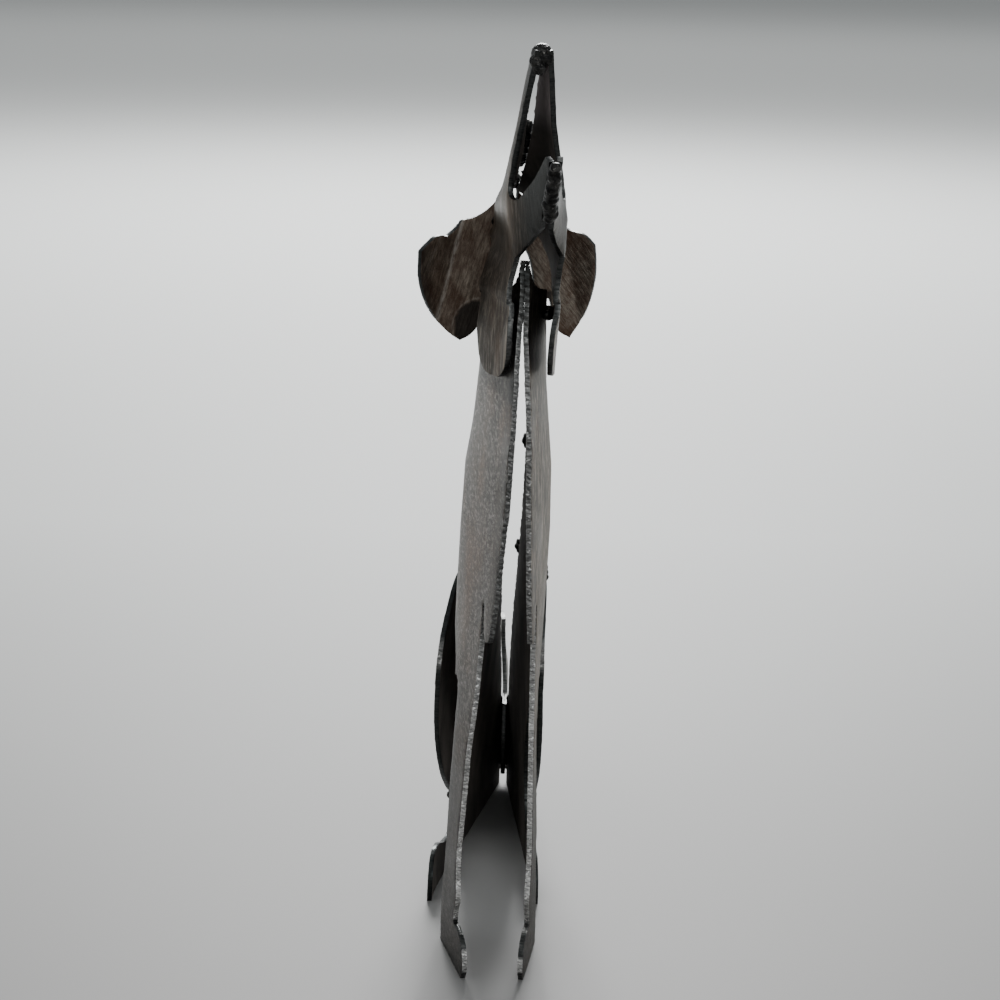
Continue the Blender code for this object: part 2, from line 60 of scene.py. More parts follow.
print("the measured model fills", [round(v, 4) for v in cad_low], "to", [round(v, 4) for v in cad_high])

# %% [markdown]
# ## The camera
# The photo was taken from in front and a little above, with the figure filling the height of the picture.
# The place and the turn of the camera were worked out from points of the figure whose places are known.

# %% Place the camera
CAMERA_PLACE = (0.0074589, -0.7024883, 0.335)
CAMERA_RIGHT = Vector((0.999546, 0.018812, 0.023231))
CAMERA_DOWN = Vector((0.027385, -0.264779, -0.963924))
CAMERA_AHEAD = Vector((-0.011982, 0.964116, -0.265170))
SENSOR_WIDTH = 36
LENS = 73.8
NEAREST_SEEN = 0.01

bpy.ops.object.select_all(action="DESELECT")
bpy.ops.object.camera_add(location=CAMERA_PLACE)
camera = bpy.context.object
camera.name = "photo_camera"
turn = Matrix((CAMERA_RIGHT, -CAMERA_DOWN, -CAMERA_AHEAD)).transposed()
camera.rotation_euler = turn.to_euler()
camera.data.sensor_width = SENSOR_WIDTH
camera.data.lens = LENS
camera.data.clip_start = NEAREST_SEEN
bpy.context.scene.camera = camera
print("camera", round(camera.location.length, 3), "m from the middle of the base")

# %% [markdown]
# ## The shapes that the maker cut
# Every sheet starts as a flat outline. The numbers are in units of 1/305 of the figure's height, which is
# one millimetre here. A body outline is drawn as (distance back, height), a head outline as (distance
# forward, height) and an ear outline as (distance out, height). A point that ends in a word is a corner.

# %% Write down the outlines
UNIT = 0.001
SHEET = 0.0019
HEAD_TURN = math.radians(11.0)
HEAD_PIVOT = (7.5, 5.0)
MIDDLE = (-0.6589, 84.9883)
CORNER = "corner"

BODY_OUTLINE = [
    (-1.2, 0, CORNER), (-3.2, 3.0), (-3.8, 8.5), (-0.5, 14), (8.6, 15.6, CORNER), (7.8, 19), (5.6, 25),
    (6.8, 34), (6.6, 62), (7.4, 92), (9.5, 127.5, CORNER), (8.7, 127.5, CORNER), (6, 119), (0.5, 117.2),
    (-2.5, 124), (-4, 145), (-6, 178), (-3.8, 194), (1, 206), (4.2, 219), (5, 230), (6, 240, CORNER),
    (8.5, 234), (14, 230.5), (22, 228.6), (34, 226.5, CORNER), (47, 216), (73, 181), (98, 143), (112, 120),
    (141, 76), (158, 42), (163.5, 20), (164, 0, CORNER), (54.4, 0, CORNER), (53.6, 4), (54.6, 11),
    (60, 15.8), (67, 16.6), (78, 13), (89, 13.6), (96.5, 25), (94, 42), (82, 60), (62, 79), (44, 90),
    (32, 92), (27.5, 80), (27, 55), (25, 30), (26.8, 12), (26.6, 0, CORNER),
]
CROWN_LINE = [
    (-37.6, 257.5), (-31, 260.6), (-24.5, 265.6), (-18, 271.5), (-13, 278.5), (-9.8, 285), (-5.6, 293.5),
    (2.2, 303.6),
]
HEAD_OUTLINE = [
    (8.5, 303, CORNER), (6.2, 294), (3.6, 283), (0, 268), (-2.0, 261.0), (0.0, 258.8), (10, 263.5),
    (23, 273.8, CORNER), (25.4, 272.5, CORNER), (14.5, 251.5, CORNER), (8.6, 247.2), (3.2, 242.6),
    (-0.6, 236.5), (-1.2, 229), (1.2, 214), (-1.5, 205), (-10, 202), (-19, 204), (-22.5, 212), (-25, 228),
    (-29.5, 240), (-37.6, 242.5, CORNER),
] + [(*CROWN_LINE[0], CORNER)] + CROWN_LINE[1:-1] + [(*CROWN_LINE[-1], CORNER)]
EAR_OUTLINE = {
    "left": [
        (1.6, 256.4, CORNER), (4.4, 253.7), (9.6, 248.8), (15.9, 246.6, CORNER), (18.5, 243.6),
        (20.9, 241.9, CORNER), (23.8, 242.2), (27.6, 239.9), (30.1, 237.6, CORNER), (30.2, 230), (29, 224),
        (25.9, 217.2), (20.5, 210.6), (15.8, 207.2, CORNER), (12.2, 209.2), (8.8, 214.5), (7.4, 224),
        (6.2, 233), (3.6, 240), (1.4, 247),
    ],
    "right": [
        (1.6, 256.4, CORNER), (4.4, 253.7), (9.6, 249.5), (15.9, 246.0), (19.5, 243.8), (24.2, 242.4),
        (27.6, 239.0, CORNER), (28.3, 232), (28.0, 225.6), (25.6, 215.5), (21.0, 207.6, CORNER),
        (16.8, 210.2), (14.6, 217), (13.6, 220.6, CORNER), (8.2, 222.6, CORNER), (6.8, 233), (3.6, 240),
        (1.4, 247),
    ],
}
HAUNCH_OUTLINE = [
    (76, 118), (94, 113), (113, 95), (126, 72), (126, 48), (115, 30), (100, 24), (86, 33.5), (74, 51),
    (67.5, 76), (69.5, 101),
]
TAIL_OUTLINE = [
    (151, 9, CORNER), (149.5, 24), (153, 38.5, CORNER), (164, 41), (168, 52), (166.5, 64),
    (161.5, 71.5, CORNER), (177, 69.5), (189, 55), (191.5, 36), (184, 18), (168, 9),
]
print(len(BODY_OUTLINE), "points draw the side of the body,", len(HEAD_OUTLINE), "draw the side of the head")

# %% [markdown]
# ## How each sheet is bent
# A flat blank becomes a piece of the animal when it is bent. Each form below takes a point of the flat blank
# and gives its place in the air. The rows say how far to the side the sheet runs at some heights; the places
# between them are blended, which gives the same soft bend as the measured model.

# %% Write down the bends
LEFT_SIDE = [
    (0, 54, 164, -10.0, -26.0, -1.3), (20, 54, 163.5, -10.4, -25.4, -1.3), (42, 54, 158, -10.3, -22.8, -1.3),
    (76, 32, 141, -7.8, -17.2, -1.9), (96, 40, 128, -5.2, -16.6, -1.7), (108, 48, 120, -4.1, -17.4, -1.6),
    (120, 54, 112, -3.0, -17.2, -1.5), (143, 54, 98, -1.3, -16.3, -0.8), (165, 52, 84, 0.0, -15.0, -0.2),
    (181, 50, 73, 0.8, -12.4, 0.4), (195, 45, 62, 2.0, -11.0, 1.0), (217, 36, 47, 5.4, -9.0, 1.8),
    (228, 27, 36, 6.6, -5.0, 2.2), (240, 24, 32, 6.8, -4.0, 2.4),
]
RIGHT_SIDE = [
    (0, 42, 164, 10.5, 17.4, 3.4), (20, 42, 163.5, 10.7, 17.2, 3.4), (42, 44, 158, 11.4, 16.4, 3.4),
    (76, 54, 141, 11.3, 14.9, 4.2), (96, 54, 128, 10.9, 15.2, 5.2), (120, 54, 112, 10.2, 16.4, 6.3),
    (143, 54, 98, 9.5, 17.2, 7.2), (165, 52, 84, 9.1, 16.9, 7.7), (181, 50, 73, 8.8, 15.4, 8.0),
    (195, 45, 62, 7.9, 14.2, 7.9), (217, 36, 47, 4.9, 13.6, 7.6), (228, 27, 36, 4.25, 13.6, 7.4),
    (240, 24, 32, 3.5, 13.0, 7.4),
]
LEFT_THIGH = [
    (20, 54, 163.5, -10.4, -25.4, -1.3), (42, 54, 158, -10.3, -22.8, -1.3), (76, 54, 141, -7.8, -21.2, -1.9),
    (96, 54, 128, -5.2, -20.7, -1.7), (120, 54, 112, -3.0, -18.6, -1.5),
]
SIDE_PLAN = {"left": LEFT_SIDE, "right": RIGHT_SIDE}
THIGH_PLAN = {"left": LEFT_THIGH, "right": RIGHT_SIDE}
HEAD_ROWS = [
    (202, 2.0, 7.0, 0.26, 5.2, 0.22), (215, 2.0, 7.0, 0.26, 5.9, 0.22), (230, 1.2, 6.5, 0.19, 7.3, 0.18),
    (236, 2.0, 5.6, 0.13, 8.0, 0.12), (240, 2.0, 5.2, 0.08, 8.5, 0.05), (246, -0.5, 6.0, 0.0, 9.4, 0.0),
    (252, -2.0, 7.0, 0.0, 9.8, 0.0), (257, -3.0, 7.5, 0.0, 9.4, 0.0), (264, -1.2, 7.0, 0.0, 8.3, 0.0),
    (271, 0.8, 6.5, 0.0, 6.6, 0.0), (281, 3.2, 5.0, 0.0, 4.5, 0.0), (292, 5.8, 3.5, 0.0, 3.2, 0.0),
    (300, 7.6, 2.2, 0.0, 2.2, 0.0), (305, 8.8, 1.5, 0.0, 1.5, 0.0),
]
JAW_SEAM = ((14.5, 251.5), (25.4, 272.5))
JAW_SEAM_SHIFT = 0.9
EAR_CREASE = ((15.9, 246.6), (22.5, 220.0))
SOFT_BEND = 5.0
NAPE_SLOPE = 3.2
EAR_BACK, EAR_SWEEP = -39.4, 0.16
EAR_CUP, EAR_CUP_MIDDLE = 0.010, 12
EAR_FOLD = math.radians(24)
HAUNCH_MIDDLE, HAUNCH_REACH = (92, 76), (52, 50)
HAUNCH_GAP = 1.9 * 0.3
HAUNCH_DOME = {"left": 3.4, "right": 0.3}
TAIL_PLACE = 0.95
TAIL_HELD_TO = 41
TAIL_LEAN, TAIL_LEAN_FROM = 0.13, 150
print(len(LEFT_SIDE), "heights give the bend of the left side,", len(HEAD_ROWS), "give the head's")

# %% Read the tables of the bends
def between(low, high, share):
    """The value at a share of the way between two others."""
    return low + (high - low) * share


def clamp(value):
    """A value kept between 0 and 1."""
    return min(max(value, 0), 1)


def read_rows(rows, height, column):
    """One column of a table whose first column is the height, read between its rows."""
    if height <= rows[0][0]:
        return rows[0][column]
    for lower, upper in zip(rows, rows[1:]):
        if height <= upper[0]:
            return between(lower[column], upper[column], (height - lower[0]) / (upper[0] - lower[0]))
    return rows[-1][column]


def side_place(plan, side, y, z):
    """How far to the side a bent sheet lies: two straight runs with a soft bend where it is widest."""
    rows = plan[side]
    widest_y, spine_y, front_x, widest_x, spine_x = (read_rows(rows, z, column) for column in range(1, 6))
    chest = between(front_x, widest_x, y / widest_y)
    back = between(spine_x, widest_x, (spine_y - y) / (spine_y - widest_y))
    bend = math.hypot(chest - back, SOFT_BEND)
    return (chest + back + bend) / 2 if side == "left" else (chest + back - bend) / 2


def body_side(side, y, z):
    """How far to the side a body sheet lies."""
    return side_place(SIDE_PLAN, side, y, z)


def bent_body(side):
    """The form of a body sheet."""
    return lambda y, z: Vector((body_side(side, y, z), y, z))


print("the side plates bend softly over", SOFT_BEND, "units")

# %% The forms of the head and the ears
def in_head(a, b, z):
    """A point of the head's own frame, turned with the head: a forward, b to the side."""
    x = HEAD_PIVOT[0] + b * math.cos(HEAD_TURN) + a * math.sin(HEAD_TURN)
    y = HEAD_PIVOT[1] - a * math.cos(HEAD_TURN) + b * math.sin(HEAD_TURN)
    return Vector((x, y, z))


def bent_head(side):
    """The form of a head sheet: round to the crown behind, drawn in to the seam of the jaw in front."""
    sign = -1 if side == "left" else 1
    columns = (1, 2, 3) if side == "left" else (1, 4, 5)
    (low_a, low_z), (high_a, high_z) = JAW_SEAM

    def place(a, z):
        front, width, flare = (read_rows(HEAD_ROWS, z, column) for column in columns)
        gap = 0.2 if z < 271 else between(0.2, 0.75, min((z - 271) / 10, 1))
        closed = SHEET / UNIT / 2 + gap
        seam = between(low_a, high_a, (z - low_z) / (high_z - low_z))
        drawn_in = clamp((a - front) / (seam - front))
        if a > front:
            b = between(width, closed, drawn_in)
        else:
            crown = read_rows([(height, forward) for forward, height in CROWN_LINE], z, 1)
            if z < CROWN_LINE[0][1]:
                crown = CROWN_LINE[0][0] - NAPE_SLOPE * (CROWN_LINE[0][1] - z)
            share = min(1.04 * (front - a) / (front - crown), 1)
            b = closed + (width - closed) * (1 - share ** 2) ** 0.62 + flare * (front - a)
        return in_head(a, sign * b + JAW_SEAM_SHIFT * drawn_in, z)

    return place


def bent_ear(side):
    """The form of an ear: swept back, cupped, and folded forward at a crease."""
    sign = -1 if side == "left" else 1
    (top_b, top_z), (low_b, low_z) = EAR_CREASE

    def place(b, z):
        crease = between(low_b, top_b, (z - low_z) / (top_z - low_z))
        folded = math.tan(EAR_FOLD) * max(b - crease, 0)
        forward = EAR_BACK - EAR_SWEEP * b + EAR_CUP * (b - EAR_CUP_MIDDLE) ** 2 + folded
        return in_head(forward, sign * b, z)

    return place


print("the head is turned", round(math.degrees(HEAD_TURN)), "degrees to the figure's left")

# %% The forms of the thighs and the tail
def bent_haunch(side):
    """The form of a thigh plate: it lies on the body sheet and is domed in the middle."""
    sign = -1 if side == "left" else 1
    (middle_y, middle_z), (reach_y, reach_z) = HAUNCH_MIDDLE, HAUNCH_REACH

    def place(y, z):
        across = ((y - middle_y) / reach_y) ** 2 + ((z - middle_z) / reach_z) ** 2
        rise = SHEET / UNIT + HAUNCH_GAP + HAUNCH_DOME[side] * max(1 - across, 0)
        return Vector((side_place(THIGH_PLAN, side, y, z) + sign * rise, y, z))

    return place


def bent_tail(y, z):
    """The form of the tail: upright between the edges of the spine, its free part leaning to the left."""
    free = max(z - TAIL_HELD_TO, 0) / TAIL_HELD_TO
    return Vector((TAIL_PLACE - TAIL_LEAN * free * (y - TAIL_LEAN_FROM), y, z))


print("the left thigh plate is domed by", HAUNCH_DOME["left"], "units")

# %% [markdown]
# ## Finishes
# The outer faces were cleaned with a grinding disc: thousands of fine strokes that lie in patches, turned
# two ways, with brown smears where the steel was heated. The insides keep the dark scale of the mill. The
# cut edges of the chest and legs are bright and rippled, the other edges are dark. Each finish is one node
# material on Object coordinates, so it stays with the metal in every view.

# %% Helpers for finishes
def new_finish(name, metallic, roughness):
    """A material and the parts of its node tree that the finishes need."""
    finish = bpy.data.materials.new(name)
    finish.use_nodes = True
    tree = finish.node_tree
    shader = tree.nodes["Principled BSDF"]
    shader.inputs["Metallic"].default_value = metallic
    shader.inputs["Roughness"].default_value = roughness
    return finish, tree, shader


def streaks(tree, stretch, turn=(0, 0, 0), detail=3.0, rough=0.6):
    """Noise drawn out along one direction: stretch is how many times a metre it repeats along X, Y and Z."""
    place = tree.nodes.new("ShaderNodeTexCoord")
    lay = tree.nodes.new("ShaderNodeMapping")
    lay.vector_type = "TEXTURE"
    lay.inputs["Rotation"].default_value = [math.radians(part) for part in turn]
    lay.inputs["Scale"].default_value = [1 / part for part in stretch]
    grain = tree.nodes.new("ShaderNodeTexNoise")
    grain.inputs["Scale"].default_value = 1.0
    grain.inputs["Detail"].default_value = detail
    grain.inputs["Roughness"].default_value = rough
    tree.links.new(place.outputs["Object"], lay.inputs["Vector"])
    tree.links.new(lay.outputs["Vector"], grain.inputs["Vector"])
    return grain.outputs["Fac"]


def spread(tree, value, low, high, to_low=0.0, to_high=1.0):
    """Stretch a part of a value's range over another range."""
    ramp = tree.nodes.new("ShaderNodeMapRange")
    for socket, number in zip(("From Min", "From Max", "To Min", "To Max"), (low, high, to_low, to_high)):
        ramp.inputs[socket].default_value = number
    tree.links.new(value, ramp.inputs["Value"])
    return ramp.outputs["Result"]


def blend_values(tree, share, first, second):
    """Mix two grey values."""
    mixer = tree.nodes.new("ShaderNodeMix")
    tree.links.new(share, mixer.inputs["Factor"])
    tree.links.new(first, mixer.inputs[2])
    tree.links.new(second, mixer.inputs[3])
    return mixer.outputs[0]


def blend_colours(tree, share, first, second):
    """Mix two colours, each given as numbers or as a socket."""
    mixer = tree.nodes.new("ShaderNodeMix")
    mixer.data_type = "RGBA"
    tree.links.new(share, mixer.inputs["Factor"])
    for socket, colour in ((mixer.inputs[6], first), (mixer.inputs[7], second)):
        if isinstance(colour, tuple):
            socket.default_value = (*colour, 1)
        else:
            tree.links.new(colour, socket)
    return mixer.outputs[2]


def add_bump(tree, shader, height, distance, strength=1.0):
    """Let a value press small hollows into the surface."""
    press = tree.nodes.new("ShaderNodeBump")
    press.inputs["Strength"].default_value = strength
    press.inputs["Distance"].default_value = distance
    tree.links.new(height, press.inputs["Height"])
    tree.links.new(press.outputs["Normal"], shader.inputs["Normal"])


def painted(tree, name):
    """Read an attribute that was painted on the piece."""
    reader = tree.nodes.new("ShaderNodeAttribute")
    reader.attribute_name = name
    return reader.outputs["Fac"]


def line_along(tree, distance, half_width, strength):
    """A thin line where a painted distance passes zero."""
    size = tree.nodes.new("ShaderNodeMath")
    size.operation = "ABSOLUTE"
    tree.links.new(distance, size.inputs[0])
    return spread(tree, size.outputs[0], half_width, 0.0, 0.0, strength)


def times(tree, first, second):
    """Product of two values."""
    product = tree.nodes.new("ShaderNodeMath")
    product.operation = "MULTIPLY"
    tree.links.new(first, product.inputs[0])
    tree.links.new(second, product.inputs[1])
    return product.outputs[0]


print("helpers for finishes are ready")

# %% The outer faces, cleaned with a disc
STROKE_DEPTH = 0.00012


def ground_face(name, dark, light, brown, lays, speck, roughness=0.38):
    """Ground steel: strokes in patches, brown where it was heated, paler where wear and painted highlights
    are marked, darker with painted shade.
    """
    finish, tree, shader = new_finish(name, 1.0, roughness)
    first, second = (streaks(tree, stretch, (turn, 0, 0), 5.0, 0.8) for stretch, turn in lays)
    patches = spread(tree, streaks(tree, (40, 40, 30), detail=1.0), 0.44, 0.56)
    strokes = blend_values(tree, patches, first, second)
    colour = blend_colours(tree, spread(tree, strokes, 0.44, 0.58), dark, light)
    cloud = streaks(tree, (55, 50, 40), detail=6.0, rough=0.7)
    colour = blend_colours(tree, spread(tree, cloud, 0.60, 0.40, 0.0, 0.6), colour, dark)
    smear = spread(tree, streaks(tree, (90, 60, 45), detail=5.0, rough=0.7), 0.50, 0.68, 0.0, 0.6)
    colour = blend_colours(tree, smear, colour, brown)
    blotch = spread(tree, streaks(tree, (110, 120, 80), detail=5.0, rough=0.75), 0.30, 0.46, 0.45, 1.0)
    colour = blend_colours(tree, times(tree, painted(tree, "heat_tint_and_shade"), blotch), colour, brown)
    flecks = streaks(tree, speck, detail=3.0, rough=0.7)
    colour = blend_colours(tree, spread(tree, flecks, 0.38, 0.54, 0.7, 0.0), colour, dark)
    glint = tuple(part * 1.7 for part in light)
    colour = blend_colours(tree, spread(tree, flecks, 0.54, 0.68, 0.0, 0.5), colour, glint)
    pale = tuple(min(part * 1.9, 1) for part in light)
    # paler where it is worn, with painted highlights on the cheek and along the ruff's front edge
    colour = blend_colours(tree, painted(tree, "wear_and_highlight"), colour, pale)
    # painted shade: under the head, on the neck and the jaw, and towards the feet
    colour = blend_colours(tree, painted(tree, "painted_shade"), colour, (0.030, 0.032, 0.031))
    tree.links.new(colour, shader.inputs["Base Color"])
    sheen = spread(tree, cloud, 0.3, 0.7, roughness - 0.05, roughness + 0.10)
    tree.links.new(sheen, shader.inputs["Roughness"])
    add_bump(tree, shader, strokes, STROKE_DEPTH)
    return finish


CROSSED = (((900, 240, 620), 24), ((900, 280, 760), -20))
UPRIGHT = (((260, 700, 34), 2), ((300, 1300, 60), -3))
COMBED = (((520, 520, 34), 3), ((900, 900, 60), -5))
left_steel = ground_face(
    "ground_left_steel", (0.042, 0.035, 0.030), (0.262, 0.240, 0.220), (0.125, 0.068, 0.036), CROSSED,
    (1000, 380, 900),
)
right_steel = ground_face(
    "ground_right_steel", (0.044, 0.036, 0.030), (0.305, 0.268, 0.222), (0.130, 0.080, 0.050), UPRIGHT,
    (1000, 480, 160), 0.46,
)
head_steel = ground_face(
    "ground_head_steel", (0.050, 0.041, 0.033), (0.215, 0.184, 0.154), (0.110, 0.070, 0.045), COMBED,
    (1000, 900, 160),
)
print("outer faces:", left_steel.name, right_steel.name, head_steel.name)

# %% The brown ears, with their folds and scratches
def ear_face(name, dark, light, angle):
    """Blued and browned steel: fine slanted scratches, with painted highlights along its folds and painted
    shade on its lobe and folded-back part.
    """
    finish, tree, shader = new_finish(name, 1.0, 0.44)
    grain = streaks(tree, (1500, 500, 220), (0, angle, 0), 5.0, 0.75)
    cloud = spread(tree, streaks(tree, (150, 150, 100), detail=6.0, rough=0.75), 0.36, 0.62)
    colour = blend_colours(tree, spread(tree, grain, 0.38, 0.66), dark, light)
    colour = blend_colours(tree, cloud, (0.090, 0.056, 0.040), colour)
    # painted highlights: light lines along the crease, the fold and the rim of the lobe
    for folded, half_width, strength in (("crease", 1.3, 0.85), ("fold", 0.6, 0.35), ("lobe", 0.6, 0.35)):
        ridge = line_along(tree, painted(tree, folded), half_width, strength)
        broken = times(tree, ridge, spread(tree, grain, 0.34, 0.56))
        colour = blend_colours(tree, broken, colour, (0.48, 0.44, 0.40))
    # painted shade: the folded-back part of the ear and its cupped lobe
    colour = blend_colours(tree, painted(tree, "heat_tint_and_shade"), colour, (0.022, 0.022, 0.022))
    tree.links.new(colour, shader.inputs["Base Color"])
    add_bump(tree, shader, grain, 0.0003)
    return finish


ear_steel = {
    "left": ear_face("brown_left_ear", (0.115, 0.088, 0.067), (0.350, 0.294, 0.240), 14),
    "right": ear_face("brown_right_ear", (0.104, 0.084, 0.066), (0.345, 0.300, 0.252), -36),
}
print("ears:", ear_steel["left"].name, ear_steel["right"].name)

# %% The insides and the cut edges
def mill_scale(name):
    """The dark inside of the sheet, with painted light where it is marked."""
    finish, tree, shader = new_finish(name, 0.0, 0.75)
    shader.inputs["Specular IOR Level"].default_value = 0.18
    cloud = streaks(tree, (60, 60, 30), detail=4.0)
    shade = spread(tree, cloud, 0.35, 0.7)
    colour = blend_colours(tree, shade, (0.040, 0.037, 0.035), (0.135, 0.118, 0.105))
    # painted light on the inside of the right head plate, high in the mouth
    colour = blend_colours(tree, painted(tree, "painted_light_inside"), colour, (0.22, 0.19, 0.19))
    tree.links.new(colour, shader.inputs["Base Color"])
    add_bump(tree, shader, cloud, 0.0002)
    return finish


def cut_edge(name):
    """A cut edge: drag lines across the thickness, painted shade in the hollows, bright where shine is
    marked: the ground edges of chest and legs, and a painted highlight on the thighs.
    """
    finish, tree, shader = new_finish(name, 1.0, 0.32)
    lines = streaks(tree, (300, 1500, 1500), detail=4.0, rough=0.75)
    drag = spread(tree, lines, 0.36, 0.62)
    silver = blend_colours(tree, drag, (0.24, 0.237, 0.232), (0.95, 0.94, 0.92))
    smoked = blend_colours(tree, drag, (0.016, 0.019, 0.019), (0.028, 0.032, 0.031))
    shine = painted(tree, "shine")
    colour = blend_colours(tree, shine, smoked, silver)
    # painted shade in the hollows of the torch ripples
    colour = blend_colours(tree, painted(tree, "hollow"), colour, (0.045, 0.045, 0.043))
    sparks = spread(tree, streaks(tree, (700, 1000, 1000), detail=1.0), 0.62, 0.68)
    sparks = times(tree, sparks, spread(tree, shine, 0.15, 0.6))
    colour = blend_colours(tree, sparks, colour, (1.0, 0.99, 0.97))
    tree.links.new(colour, shader.inputs["Base Color"])
    calm = tree.nodes.new("ShaderNodeValue")
    calm.outputs[0].default_value = 0.5
    rough = blend_values(tree, spread(tree, shine, 0.05, 0.4, 0.0, 1.0), calm.outputs[0], lines)
    add_bump(tree, shader, rough, 0.0004)
    return finish


inner_scale = mill_scale("mill_scale_inside")
edge_steel = cut_edge("torch_cut_edge")
print("inside:", inner_scale.name, "edge:", edge_steel.name)

# %% Weld metal
def molten(name):
    """Weld metal: dark, glossy and lumpy, with a little brown and pale slag in its hollows."""
    finish, tree, shader = new_finish(name, 1.0, 0.34)
    lumps = streaks(tree, (420, 420, 420), detail=3.0)
    ripples = streaks(tree, (700, 700, 1500), detail=2.0)
    shade = spread(tree, lumps, 0.40, 0.64)
    colour = blend_colours(tree, shade, (0.016, 0.016, 0.016), (0.070, 0.069, 0.066))
    slag = spread(tree, streaks(tree, (900, 900, 900), detail=2.0), 0.66, 0.74, 0.0, 0.5)
    colour = blend_colours(tree, slag, colour, (0.45, 0.43, 0.40))
    tree.links.new(colour, shader.inputs["Base Color"])
    add_bump(tree, shader, blend_values(tree, lumps, ripples, lumps), 0.0005)
    return finish


weld_metal = molten("dark_weld_metal")
print("welds:", weld_metal.name)

# %% [markdown]
# ## From a drawn line to a cut blank
# By hand this is a Bezier circle whose points are moved onto the drawing. A torch never leaves a clean line:
# it moves in small jerks, so the cut is a row of shallow scallops. The line is therefore walked in short
# steps and pushed inwards by a scallop, deep and coarse on the chest and fine on the legs.

# %% Draw and roughen an outline
STEP = 0.00045


def pick_nothing():
    """Leave edit mode and deselect everything."""
    if bpy.context.object and bpy.context.object.mode != "OBJECT":
        bpy.ops.object.mode_set(mode="OBJECT")
    bpy.ops.object.select_all(action="DESELECT")


def draw_outline(name, points):
    """A closed Bezier curve through the points, turned into a loop of straight edges."""
    pick_nothing()
    bpy.ops.curve.primitive_bezier_circle_add(radius=0.01, location=(0, 0, 0))
    drawn = bpy.context.object
    drawn.name = name
    drawn.data.resolution_u = 16
    spline = drawn.data.splines[0]
    spline.bezier_points.add(len(points) - len(spline.bezier_points))
    for knot, (u, v, *corner) in zip(spline.bezier_points, points):
        knot.co = (u * UNIT, v * UNIT, 0)
        knot.handle_left_type = "VECTOR" if corner else "AUTO"
        knot.handle_right_type = knot.handle_left_type
    bpy.ops.object.convert(target="MESH")
    return bpy.context.object


def walk_loop(drawn):
    """Points at even steps along the drawn loop."""
    corners = [corner.co.to_2d() for corner in drawn.data.vertices]
    corners.append(corners[0])
    lengths = [(b - a).length for a, b in zip(corners, corners[1:])]
    count = round(sum(lengths) / STEP)
    pace = sum(lengths) / count
    walked, leg, done = [], 0, 0.0
    for index in range(count):
        target = index * pace
        while done + lengths[leg] < target:
            done += lengths[leg]
            leg += 1
        share = (target - done) / max(lengths[leg], 1e-9)
        walked.append(corners[leg].lerp(corners[leg + 1], share))
    return walked


def scallop(walked, cut_of, seed):
    """Push the walked points inwards: cut_of gives the pitch, the depth and the wander at a place."""
    area = sum(a.x * b.y - b.x * a.y for a, b in zip(walked, walked[1:] + walked[:1]))
    inward = 1 if area > 0 else -1
    phase, pushed = 0.0, []
    for index, point in enumerate(walked):
        along = walked[(index + 1) % len(walked)] - walked[index - 1]
        normal = Vector((-along.y, along.x)).normalized() * inward
        pitch, depth, wander = cut_of(point.x / UNIT, point.y / UNIT)
        place = Vector((point.x / UNIT, point.y / UNIT, seed))
        phase += STEP / UNIT / pitch * (1 + 0.35 * noise.noise(place * 0.31))
        groove = depth * (1 - abs(math.sin(math.pi * phase))) * (0.7 + 0.6 * noise.noise(place * 0.7))
        drift = wander * (0.5 + noise.noise(place * 0.23)) + wander * 0.4 * (0.5 + noise.noise(place * 1.3))
        pushed.append(point + normal * max(groove + drift, 0) * UNIT)
    return pushed


print("an outline is walked in steps of", STEP * 1000, "mm")

# %% [markdown]
# ## From the blank to a bent sheet
# The loop is filled with one face and cut into small cells with the bisect tool, because a face without
# cells can't bend. Bending by hand would be slow proportional editing. The bend of the measured model is
# already written down above, so here each point of the blank is moved to the place that the bend gives it.
# Solidify then gives the sheet its thickness. The cut edge is divided into narrow strips, so that its two
# corners can be rounded and the ripples of the torch pressed in between them.

# %% Cut a blank
def cut_cells(piece, points, cell):
    """Fill the loop and cut it along a square grid."""
    bpy.ops.object.mode_set(mode="EDIT")
    bpy.ops.mesh.select_all(action="SELECT")
    bpy.ops.mesh.edge_face_add()
    for axis in (0, 1):
        normal = (1 - axis, axis, 0)
        low = min(point[axis] for point in points)
        high = max(point[axis] for point in points)
        for step in range(math.ceil(low / cell), math.floor(high / cell) + 1):
            bpy.ops.mesh.select_all(action="SELECT")
            place = [part * step * cell for part in normal]
            bpy.ops.mesh.bisect(plane_co=place, plane_no=normal, threshold=0.00001)
    bpy.ops.mesh.select_all(action="DESELECT")
    bpy.ops.mesh.select_mode(type="FACE")
    bpy.ops.mesh.select_face_by_sides(number=4, type="GREATER")
    bpy.ops.mesh.quads_convert_to_tris(quad_method="BEAUTY", ngon_method="BEAUTY")
    bpy.ops.object.mode_set(mode="OBJECT")


def cut_blank(name, outline, cut_of, cell, seed):
    """A flat blank with a rough edge."""
    piece = draw_outline(name, outline)
    points = scallop(walk_loop(piece), cut_of, seed)
    piece.data.clear_geometry()
    loop = [(index, (index + 1) % len(points)) for index in range(len(points))]
    piece.data.from_pydata([(*point, 0) for point in points], loop, [])
    cut_cells(piece, points, cell)
    return piece


print("a blank is cut into square cells")

# %% Paint, bend and thicken a blank
def paint(piece, marks):
    """Write the marks of a sheet on its points: a mark gives a value at a place of the blank."""
    for name, mark in marks.items():
        layer = piece.data.attributes.new(name, "FLOAT", "POINT")
        for corner in piece.data.vertices:
            layer.data[corner.index].value = mark(corner.co.x / UNIT, corner.co.y / UNIT)


